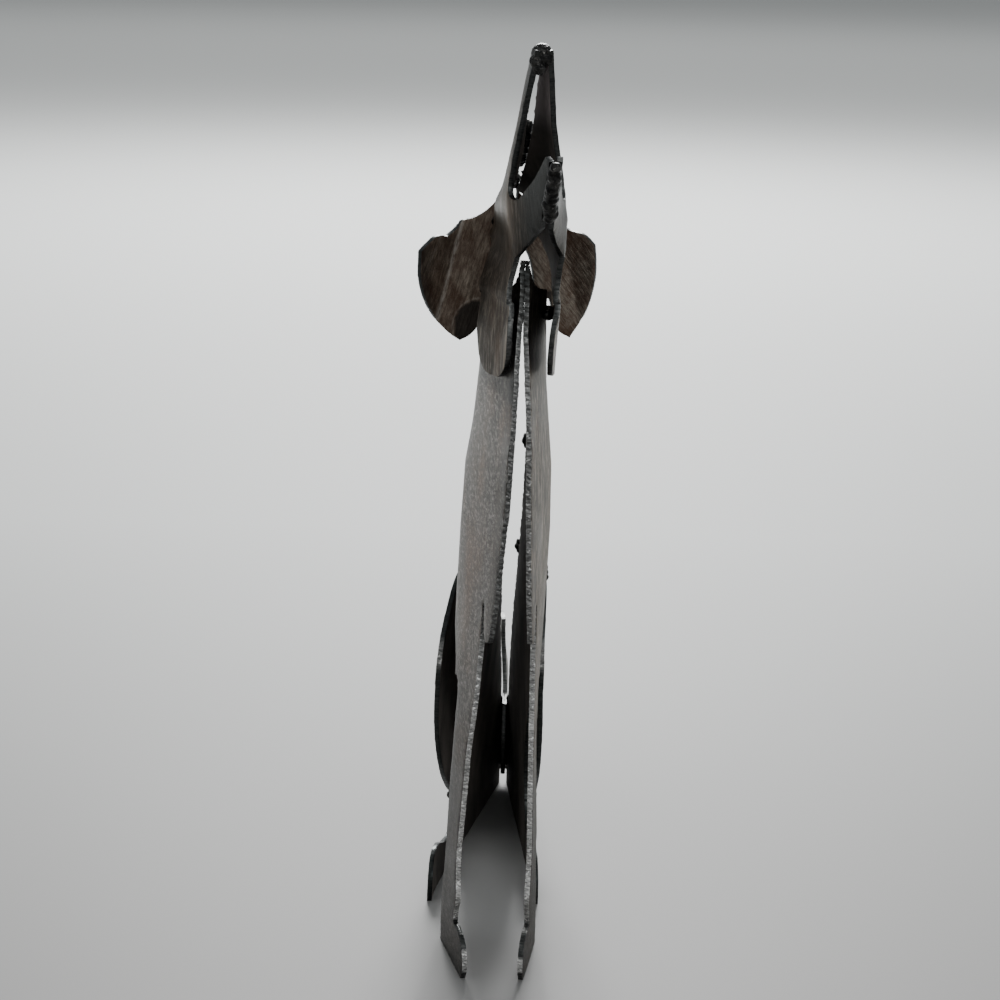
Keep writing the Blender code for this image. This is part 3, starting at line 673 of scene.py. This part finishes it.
def bend(piece, form, outward):
    """Move each point of the blank to its bent place, with the first material's face turned outwards."""
    for corner in piece.data.vertices:
        place = form(corner.co.x / UNIT, corner.co.y / UNIT)
        corner.co = Vector((place.x - MIDDLE[0], place.y - MIDDLE[1], place.z)) * UNIT
    piece.data.update()
    facing = sum(face.area * face.normal.dot(outward) for face in piece.data.polygons)
    if facing < 0:
        bpy.ops.object.mode_set(mode="EDIT")
        bpy.ops.mesh.select_all(action="SELECT")
        bpy.ops.mesh.flip_normals()
        bpy.ops.object.mode_set(mode="OBJECT")


def thicken(piece, coats):
    """Give the sheet its thickness and its three coats, and cut its edge into narrow strips."""
    for coat in coats:
        piece.data.materials.append(coat)
    sheet = piece.modifiers.new("sheet", "SOLIDIFY")
    sheet.thickness = SHEET
    sheet.offset = 0
    sheet.use_even_offset = False
    sheet.material_offset = 1
    sheet.material_offset_rim = 2
    bpy.ops.object.modifier_apply(modifier=sheet.name)
    uses = Counter(key for face in piece.data.polygons if face.material_index == 2 for key in face.edge_keys)
    bpy.ops.object.mode_set(mode="EDIT")
    bpy.ops.mesh.select_mode(type="EDGE")
    bpy.ops.mesh.select_all(action="DESELECT")
    bpy.ops.object.mode_set(mode="OBJECT")
    for edge in piece.data.edges:
        edge.select = uses[edge.key] == 2
    bpy.ops.object.mode_set(mode="EDIT")
    bpy.ops.mesh.subdivide(number_cuts=3)
    bpy.ops.object.mode_set(mode="OBJECT")


print("each sheet is", SHEET * 1000, "mm thick")

# %% Round the edge and hand the sheet over
EDGE_WEAR = 0.00016
HOLLOW_SHADE = 4.5
SOLE_HEIGHT = 0.00025
SMOOTH_BELOW = math.radians(38)


def shape_rim(piece, rope):
    """Round the two corners of the cut edge and press the ripples of the torch into it."""
    rim = {corner for face in piece.data.polygons if face.material_index == 2 for corner in face.vertices}
    skin = {corner for face in piece.data.polygons if face.material_index != 2 for corner in face.vertices}
    normals = [corner.normal.copy() for corner in piece.data.vertices]
    # the hollow mark: how deep a point lies in a ripple, for the painted shade in the hollows
    hollow = piece.data.attributes.new("hollow", "FLOAT", "POINT")
    for index in rim:
        corner = piece.data.vertices[index]
        ripple, depth = rope(corner.co / UNIT)
        hollow.data[index].value = 0.0 if index in skin else ripple * min(depth * HOLLOW_SHADE, 1)
        uneven = min(depth * 4, 0.8) * noise.noise(corner.co * 900)
        wear_and_highlight = EDGE_WEAR * (0.8 + uneven) if index in skin else 0.0
        corner.co -= normals[index] * (wear_and_highlight + ripple * depth * UNIT)


def keep_inside(piece):
    """Keep every point inside the box of the measured model, and the soles flat on the ground."""
    for corner in piece.data.vertices:
        for axis in range(3):
            corner.co[axis] = min(max(corner.co[axis], cad_low[axis]), cad_high[axis])
        if corner.co.z < SOLE_HEIGHT:
            corner.co.z = 0.0
    piece.data.update()


def hand_over(piece, node):
    """Let a finished piece stand for its measured node."""
    keep_inside(piece)
    pick_nothing()
    piece.select_set(True)
    bpy.context.view_layer.objects.active = piece
    bpy.ops.object.shade_smooth_by_angle(angle=SMOOTH_BELOW)
    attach(piece, "root")
    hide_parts(node)
    print(piece.name, len(piece.data.polygons), "faces")


def make_sheet(name, outline, cut_of, form, outward, coats, marks, rope, cell=0.0025, seed=0.0):
    """One finished sheet of the figure."""
    piece = cut_blank(name + "_sheet", outline, cut_of, cell, seed)
    paint(piece, marks)
    bend(piece, form, Vector(outward))
    thicken(piece, coats)
    shape_rim(piece, rope)
    hand_over(piece, name)


print("corners are worn by", EDGE_WEAR * 1000, "mm")

# %% [markdown]
# ## The sheets
# Each side of the body is one sheet: neck, chest, front leg, belly, hind leg and back. The edge of the chest
# is coarse, like a rope; the ripples of the legs are finer, and the edges of the back are torn and uneven.
# The head, ears, thighs and tail have cleaner edges.

# %% How rough each edge is
def body_cut(y, z):
    """Pitch, depth and wander of the body's cut edge at a place, in units."""
    if z > 117 and y < 12:
        return 2.3, 0.26, 0.34
    if z < 14:
        return 1.6, 0.05, 0.08
    if z < 22 and y > 30:
        return 3.2, 0.04, 0.10
    if y < 30:
        return 1.15, 0.14, 0.28
    if z > 60 and y > 30:
        return 2.3, 0.38, 0.9
    return 1.8, 0.2, 0.35


def clean_cut(y, z):
    """Pitch, depth and wander of a clean edge, in units."""
    return 3.2, 0.03, 0.10


def body_rope(place):
    """How deep the torch ripples press into the body's edge at a place, and how deep they may get."""
    pitch, depth = 1.8, 0.16 + 0.10 * noise.noise(place * 0.06)
    if place.z < 117:
        pitch, depth = 1.25, 0.10
    if place.y > -50:
        pitch, depth = 2.1, 0.22 if place.z > 60 else 0.04
    turn = (place.z + 0.5 * place.x) / pitch + 0.8 * noise.noise(place * 0.45)
    return (0.5 + 0.5 * math.cos(2 * math.pi * turn)) ** 1.3, max(depth, 0.04)


def calm_rope(place):
    """A nearly smooth edge."""
    return 0.5 + 0.5 * noise.noise(place * 0.3), 0.03


print("the chest edge has a ripple every 1.8 mm")

# %% Helpers for marks: where each sheet is brown, paler with wear and painted highlight, darker with painted shade, and shiny
def spots(places):
    """A mark made of soft spots: each has a place, two radii and a strength."""
    def mark(u, v):
        value = 0.0
        for at_u, at_v, wide, tall, strength in places:
            value += strength * math.exp(-((u - at_u) / wide) ** 2 - ((v - at_v) / tall) ** 2)
        return min(value, 1)
    return mark


def steps(rows):
    """A mark that follows the height: rows of a height and a value."""
    return lambda u, v: read_rows(rows, v, 1)


def body_shine(front):
    """Shine of a body sheet's edge: its front edge by height, dark behind."""
    def mark(y, z):
        if y > 24 or z > 225 and y > 12:
            return 0.05 if z > 20 else 0.01
        return read_rows(front, z, 1)
    return mark


print("a mark gives a value at each place of a blank")

# %% The marks of the body
LEFT_FRONT = [
    (0, 0.05), (2.8, 0.1), (3.6, 0.95), (10.4, 0.95), (11.6, 0.06), (16, 0.06), (17.5, 0.95), (60, 0.9),
    (112, 0.50), (118, 0.22), (200, 0.27), (212, 0.26), (228, 0.16), (236, 0.06), (244, 0.0),
]
RIGHT_FRONT = [
    (0, 0.04), (3.0, 0.1), (4.0, 0.95), (8.4, 0.95), (9.6, 0.05), (15, 0.05), (17.5, 0.95), (60, 0.95),
    (112, 0.60), (118, 0.40), (200, 0.46), (212, 0.34), (228, 0.18), (236, 0.06), (244, 0.0),
]
BODY_MARKS = {
    "left": {
        "heat_tint_and_shade": spots([
            (24, 168, 4, 9, 1.0), (32, 136, 7, 12, 0.9), (20, 141, 7, 13, 0.5), (4, 188, 4, 8, 0.7),
            (30, 120, 6, 12, 0.6), (2, 150, 3, 30, 0.5), (12, 60, 7, 22, 0.35), (12, 8, 12, 8, 0.3),
        ]),
        "wear_and_highlight": spots([(30, 176, 12, 18, 0.16), (10, 106, 6, 16, 0.12), (34, 112, 7, 9, 0.2)]),
        # painted shade: along the chest's front edge, darker towards the feet, and on the neck
        "painted_shade": lambda y, z: (
            0.4 * clamp((5.5 - y) / 3) * (z > 112) + 0.62 * clamp((104 - z) / 50) + (0.4 if z > 196 else 0)
        ),
        "shine": body_shine(LEFT_FRONT),
    },
    "right": {
        "heat_tint_and_shade": spots([
            (50, 172, 5, 6, 0.9), (40, 150, 6, 30, 0.5), (8, 188, 4, 8, 0.8), (12, 40, 8, 22, 0.5),
            (10, 8, 12, 8, 0.5),
        ]),
        "wear_and_highlight": spots([(22, 140, 12, 30, 0.16), (12, 100, 8, 20, 0.12)]),
        # painted shade: darker towards the feet, and on the neck under the head
        "painted_shade": lambda y, z: 0.72 * clamp((96 - z) / 50) + 0.35 * clamp((z - 180) / 30),
        "shine": body_shine(RIGHT_FRONT),
    },
}


print(sum(len(marks) for marks in BODY_MARKS.values()), "marks on the body")

# %% The marks of the ears
LOBE = (8.8, 212)


def lobe_distance(b, z):
    """Distance of a place of the ear from the middle of its lobe."""
    return math.hypot(b - LOBE[0], z - LOBE[1])


def crease_mark(b, z):
    """Distance of a place of the ear from its crease."""
    (top_b, top_z), (low_b, low_z) = EAR_CREASE
    return b - between(low_b, top_b, (z - low_z) / (top_z - low_z)) + 0.15


EAR_MARKS = {
    "left": {
        # painted shade: the outer part folded back from the crease, and the cupped lobe
        "heat_tint_and_shade": lambda b, z: clamp((b - 25) / 4) * 0.5 + (0.8 if lobe_distance(b, z) < 9 else 0.0),
        # distances to the crease, the fold and the rim of the lobe, where highlights are painted
        "crease": crease_mark,
        "fold": lambda b, z: (b - 23.3) * 0.915 + (z - 242) * 0.403 if z > 231 and b > 20 else 5.0,
        "lobe": lambda b, z: lobe_distance(b, z) - 9.4,
        "shine": steps([(200, 0.03), (260, 0.03)]),
    },
    "right": {
        # painted shade on the lobe, low and near the head
        "heat_tint_and_shade": lambda b, z: 0.8 if z < 224 and b < 15 else 0.0,
        "crease": lambda b, z: 5.0,
        "fold": lambda b, z: 5.0,
        "lobe": lambda b, z: 5.0,
        "shine": steps([(200, 0.03), (260, 0.03)]),
    },
}
print(sum(len(marks) for marks in EAR_MARKS.values()), "marks on the ears")

# %% The marks of the head, the thighs and the tail
HEAD_MARKS = {
    "left": {
        "heat_tint_and_shade": spots([
            (-6, 212, 3, 9, 0.9), (-13, 224, 3, 10, 0.7), (-3, 246, 3, 9, 0.5), (8, 256, 10, 8, 0.9),
        ]),
        # painted highlight: a strip along the ruff's front edge and a column down the cheek
        "wear_and_highlight": lambda a, z: (
            (0.42 if z < 236 and -1.2 < a < 3.5 else 0.0)
            + 0.3 * math.exp(-((a + 3) / 3) ** 2 - ((z - 252) / 14) ** 2)
        ),
        # painted shade: dark over the jaw, and darker towards the back of the cheek
        "painted_shade": lambda a, z: (
            0.5 * clamp((a + 2) / 4) + 0.45 * clamp((a - 1.5) / 7.5) if z > 240
            else 0.10 * clamp((-a - 6) / 8)
        ),
        "shine": steps([(200, 0.10), (245, 0.12), (262, 0.06), (275, 0.05), (305, 0.05)]),
    },
    "right": {
        "heat_tint_and_shade": spots([(-6, 222, 4, 14, 0.4)]),
        # painted highlight: a strip along the ruff's front edge
        "wear_and_highlight": lambda a, z: 0.25 if a > -1.0 and z < 236 else 0.0,
        # painted shade: darker higher up the head, darkest on the snout
        "painted_shade": lambda a, z: 0.75 if z > 262 else 0.1 + 0.5 * (z > 236),
        # painted light on the inside of the plate, high in the mouth
        "painted_light_inside": lambda a, z: clamp((z - 279) / 6) if z < 299 else 0.0,
        "shine": steps([(200, 0.10), (262, 0.06), (278, 0.06), (305, 0.05)]),
    },
}
THIGH_MARKS = {
    "heat_tint_and_shade": spots([(90, 80, 20, 20, 0.4)]),
    "wear_and_highlight": spots([]),
    "painted_shade": spots([]),
    # a painted highlight on the edge between heights 86 and 92
    "shine": steps([(20, 0.0), (60, 0.03), (83, 0.04), (86, 0.4), (92, 0.4), (96, 0.04), (120, 0.0)]),
}
TAIL_MARKS = {
    "heat_tint_and_shade": spots([(165, 30, 14, 20, 0.5)]),
    "wear_and_highlight": spots([]),
    # painted shade over the middle of the tail
    "painted_shade": spots([(165, 30, 30, 30, 0.3)]),
    "shine": steps([(0, 0.08), (75, 0.16)]),
}
print(sum(len(marks) for marks in HEAD_MARKS.values()), "marks on the head")

# %% Cut and bend the sheets of the body
for side, sign, coat in (("left", -1, left_steel), ("right", 1, right_steel)):
    coats = (coat, inner_scale, edge_steel)
    make_sheet(
        "body_" + side, BODY_OUTLINE, body_cut, bent_body(side), (sign, 0, 0), coats, BODY_MARKS[side],
        body_rope, seed=sign * 7,
    )
    make_sheet(
        "haunch_" + side, HAUNCH_OUTLINE, clean_cut, bent_haunch(side), (sign, 0, 0), coats, THIGH_MARKS,
        calm_rope, seed=sign * 3,
    )
coats = (left_steel, left_steel, edge_steel)
make_sheet(
    "tail", TAIL_OUTLINE, clean_cut, bent_tail, (-1, 0, 0), coats, TAIL_MARKS, calm_rope,
    seed=5,
)

# %% Cut and bend the sheets of the head
for side, sign in (("left", -1), ("right", 1)):
    coats = (head_steel, inner_scale, edge_steel)
    make_sheet(
        "head_" + side, HEAD_OUTLINE, clean_cut, bent_head(side), (sign, 0, 0), coats, HEAD_MARKS[side],
        calm_rope, 0.002, sign * 4,
    )
    coats = (ear_steel[side], ear_steel[side], edge_steel)
    make_sheet(
        "ear_" + side, EAR_OUTLINE[side], clean_cut, bent_ear(side), (0, -1, 0), coats, EAR_MARKS[side],
        calm_rope, 0.001, sign * 2,
    )

# %% [markdown]
# ## The welds
# A weld is a row of puddles that froze one after the other. Small balls are set along the seam, joined and
# run together with the voxel remesher, which melts them into one lump as the real metal did.

# %% Melt a row of puddles into a weld
def lay_weld(node, puddles, grain=0.0003):
    """One weld from its puddles, each a place in units and a radius in units."""
    pick_nothing()
    balls = []
    for place, radius in puddles:
        where = Vector((place.x - MIDDLE[0], place.y - MIDDLE[1], place.z)) * UNIT
        bpy.ops.mesh.primitive_ico_sphere_add(subdivisions=3, radius=radius * UNIT, location=where)
        balls.append(bpy.context.object)
    for ball in balls:
        ball.select_set(True)
    bpy.context.view_layer.objects.active = balls[0]
    bpy.ops.object.join()
    bpy.ops.object.transform_apply(location=True, rotation=True, scale=True)
    piece = bpy.context.object
    piece.name = node + "_bead"
    piece.data.remesh_voxel_size = grain
    bpy.ops.object.voxel_remesh()
    soften = piece.modifiers.new("soften", "SMOOTH")
    soften.factor = 0.6
    soften.iterations = 4
    bpy.ops.object.modifier_apply(modifier=soften.name)
    for corner in piece.data.vertices:
        corner.co += corner.normal * noise.noise(corner.co * 700) * 0.00022
    piece.data.materials.clear()
    piece.data.materials.append(weld_metal)
    hand_over(piece, node)


noise.seed_set(7)  # without a seed the vector noise below starts from the clock


def row_of_puddles(ends, radius, pitch=1.1, wobble=0.25):
    """Puddles from one end of a seam to the other, none of them quite alike."""
    start, end = ends
    count = max(round((end - start).length / (pitch * radius)), 2)
    puddles = []
    for index in range(count + 1):
        place = start.lerp(end, index / count)
        jitter = noise.noise_vector(place * 0.9) * wobble * radius
        taper = 0.78 if index in (0, count) else 1.0
        puddles.append((place + jitter, radius * taper * (1 + 0.14 * noise.noise(place * 0.8))))
    return puddles


print("a weld is melted from balls that are 2 to 7 mm wide")

# %% Weld the head
nose_place = in_head(CROWN_LINE[-1][0] + 2.4, 0, 305 - 3.3)
nose = [
    (nose_place, 3.3),
    (nose_place + Vector((1.2, -1.4, -1.0)), 2.4),
    (nose_place + Vector((-1.2, -1.6, -2.0)), 2.5),
    (nose_place + Vector((-0.8, -2.2, -4.0)), 2.1),
]
lay_weld("weld_nose", nose, 0.00022)

(low_a, low_z), (high_a, high_z) = JAW_SEAM
seam_low = in_head(low_a + 2.6, JAW_SEAM_SHIFT, low_z + 3.5)
seam_high = in_head(high_a + 0.8, JAW_SEAM_SHIFT, high_z - 1.5)
lay_weld("weld_jaw", row_of_puddles((seam_low, seam_high), 2.3, 0.8, 0.35), 0.00025)

for node, stops, behind, above in (("weld_crown", (2, 3, 4), -1.0, 1.1), ("weld_nape", (0, 1), -0.7, 0.9)):
    seam = [in_head(CROWN_LINE[index][0] + behind, 0, CROWN_LINE[index][1] + above) for index in stops]
    puddles = []
    for ends in zip(seam, seam[1:]):
        puddles += row_of_puddles(ends, 1.8, 0.8, 0.1)
    lay_weld(node, puddles)

# %% Weld the ears, the neck, the thighs and the tail
for side, sign in (("left", -1), ("right", 1)):
    cheek = bent_head(side)
    ends = []
    for z in (244.5, 251):
        back = cheek(-37.6, z)
        ends.append(back + Vector((-sign * 1.3, 1.0, 0)))
    lay_weld("weld_ear_" + side, row_of_puddles(ends, 2.1))
    ends = []
    for y in (21.5, 28.5):
        across = (body_side(side, y, 220) + cheek(HEAD_PIVOT[1] - y, 220).x) / 2
        ends.append(Vector((across, y, 220)))
    lay_weld("weld_neck_" + side, row_of_puddles(ends, 2.1))
    for level, index in (("upper", 0), ("lower", 6)):
        before, spot, after = (Vector(HAUNCH_OUTLINE[step]) for step in (index - 1, index, index + 1))
        along = (after - before).normalized() * 3.5
        out = (spot - Vector(HAUNCH_MIDDLE)).normalized() * 1.3
        ends = []
        for end in (-1, 1):
            y, z = spot + out + along * end
            ends.append(Vector((body_side(side, y, z) + sign * (SHEET / UNIT / 2 + 1.3), y, z)))
        lay_weld("weld_haunch_" + side + "_" + level, row_of_puddles(ends, 2.1))
    ends = [Vector((TAIL_PLACE + sign * 2.2, y, z)) for y, z in ((165.5, 6.5), (158.5, 38.5))]
    lay_weld("weld_tail_" + side, row_of_puddles(ends, 2.1))

# %% Leave two drops on the edge of the back
for level, (y, z) in (("upper", (84, 164)), ("lower", (115, 116))):
    drop = Vector((body_side("right", y, z) - 0.6, y, z))
    above, below = drop + Vector((0.1, 0, 1.6)), drop - Vector((-0.2, 0, 1.7))
    lay_weld("lump_spine_" + level, [(drop, 1.6), (above, 1.3), (below, 1.1)])

# %% [markdown]
# ## The stage
# A plain pale floor with painted shade, darker in front and a little lighter at the back, and soft light from
# large lamps, as in a small studio. Two weak lamps in front light the figure, two strong ones light the floor
# behind it, and the sky fills the rest evenly.

# %% Floor, lamps and sky
pick_nothing()
bpy.ops.mesh.primitive_plane_add(size=40, location=(0, 0, 0))
floor = bpy.context.object
floor.name = "floor"
floor_paint, tree, shader = new_finish("pale_floor", 0.0, 0.6)
place = tree.nodes.new("ShaderNodeTexCoord")
parts = tree.nodes.new("ShaderNodeSeparateXYZ")
tree.links.new(place.outputs["Object"], parts.inputs["Vector"])
# painted shade: the floor is darker in front and lighter at the back
depth = spread(tree, parts.outputs["Y"], -0.1, 0.45)
colour = blend_colours(tree, depth, (0.205, 0.203, 0.199), (0.375, 0.384, 0.379))
tree.links.new(colour, shader.inputs["Base Color"])
floor.data.materials.append(floor_paint)

LAMPS = [
    ("key", (-1.0, -1.0, 2.0), 1.4, 5),
    ("fill", (0.7, -1.8, 0.7), 0.9, 5),
    ("far", (0.0, 2.0, 1.4), 1.0, 105),
    ("farthest", (0.0, 5.5, 4.0), 4.0, 150),
]
for name, where, width, power in LAMPS:
    bpy.ops.object.light_add(type="AREA", location=where)
    lamp = bpy.context.object
    lamp.name = name + "_lamp"
    lamp.data.size = width
    lamp.data.energy = power
    aim = Vector((0, 0, 0.15)) if where[1] < 0 else Vector((where[0], where[1] - 0.6, 0))
    lamp.rotation_euler = (aim - lamp.location).to_track_quat("-Z", "Y").to_euler()

sky = bpy.data.worlds.new("pale_sky")
sky.use_nodes = True
sky.node_tree.nodes["Background"].inputs["Color"].default_value = (0.80, 0.83, 0.84, 1)
sky.node_tree.nodes["Background"].inputs["Strength"].default_value = 0.60
bpy.context.scene.world = sky
print(len(LAMPS), "lamps and a pale sky")
